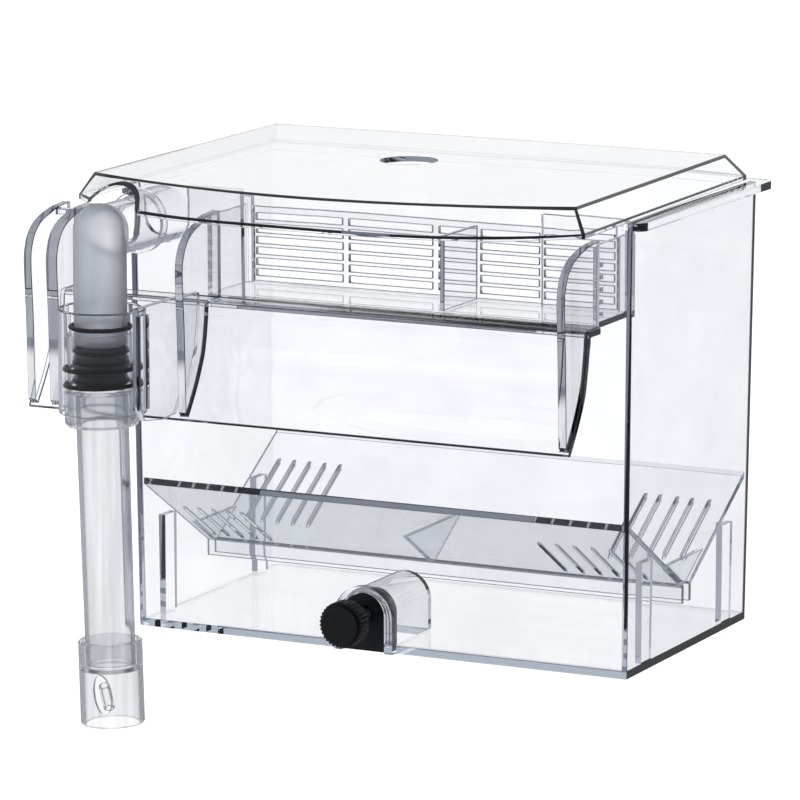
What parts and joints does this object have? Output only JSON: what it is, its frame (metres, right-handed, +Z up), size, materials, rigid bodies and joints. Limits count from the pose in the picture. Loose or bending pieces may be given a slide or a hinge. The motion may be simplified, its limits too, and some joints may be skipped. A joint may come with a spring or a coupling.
{
  "type": "hang-on fish breeding box",
  "caption": "Clear box that hangs inside an aquarium, with overflow spout, riser pipe, slotted fry tray, strainer, levelling screw and lid.",
  "frame": {"origin": "middle of the spout floor's underside, the seat that rests on the aquarium's rim", "axes": "+Z up, +X along the front wall to the right as seen from inside the aquarium, +Y from the aquarium's glass into the box"},
  "size_m": [0.1889, 0.156, 0.1617],
  "materials": {
    "clear_plastic": "clear glossy moulded plastic",
    "lid_plastic": "clear glossy moulded plastic",
    "tray_plastic": "clear moulded plastic",
    "milky_plastic": "slightly milky translucent plastic",
    "black_plastic": "matte black",
    "black_rubber": "black rubber"
  },
  "bodies": {
    "tank": {"box_body": "clear_plastic", "overflow_spout": "clear_plastic", "pipe_bracket": "clear_plastic", "levelling_nut": "black_plastic", "elbow_pipe": "milky_plastic", "elbow_seal": "milky_plastic", "elbow_ring": "black_rubber", "coupler_sleeve": "black_rubber"},
    "cover": {"lid": "lid_plastic"},
    "strainer": {"strainer_basket": "tray_plastic", "strainer_grille": "tray_plastic", "strainer_divider": "tray_plastic"},
    "tray": {"tray_panel_front": "tray_plastic", "tray_panel_back": "tray_plastic", "tray_gusset_left": "tray_plastic", "tray_gusset_mid": "tray_plastic", "tray_gusset_right": "tray_plastic"},
    "pad": {"levelling_pad": "black_rubber"},
    "leveller": {"levelling_screw": "black_plastic", "levelling_knob": "black_plastic"},
    "riser": {"lift_tube": "milky_plastic", "tube_collar": "milky_plastic", "collar_ring_upper": "black_rubber", "collar_ring_lower": "black_rubber"},
    "foot": {"intake_foot": "milky_plastic", "air_nipple": "milky_plastic"}
  },
  "joints": [
    {"name": "lid_lift", "type": "slide", "parent": "tank", "child": "cover", "axis": [0, 0, 1], "range_m": [0, 0.16]},
    {"name": "strainer_lift", "type": "slide", "parent": "tank", "child": "strainer", "axis": [0, 0, 1], "range_m": [0, 0.12]},
    {"name": "tray_lift", "type": "slide", "parent": "tank", "child": "tray", "axis": [0, 0, 1], "range_m": [0, 0.08]},
    {"name": "leveller_travel", "type": "slide", "parent": "tank", "child": "pad", "axis": [0, 1, 0], "range_m": [-0.005, 0.004]},
    {"name": "leveller_turn", "type": "hinge", "parent": "pad", "child": "leveller", "pos_m": [-0.003, -0.0075, -0.0896], "axis": [0, 1, 0], "range_deg": [-1200, 960]},
    {"name": "riser_pull", "type": "slide", "parent": "tank", "child": "riser", "axis": [0.0279, 0, -0.9996], "range_m": [0, 0.03]},
    {"name": "foot_turn", "type": "hinge", "parent": "riser", "child": "foot", "pos_m": [-0.0693, -0.0355, -0.02], "axis": [0.0279, 0, -0.9996], "range_deg": [-180, 180]}
  ],
  "couplings": [
    {"joint": "strainer_lift", "follows": "lid_lift", "ratio": 0.75},
    {"joint": "tray_lift", "follows": "lid_lift", "ratio": 0.5},
    {"joint": "leveller_turn", "follows": "leveller_travel", "rad_per_m": 4188.7}
  ]
}
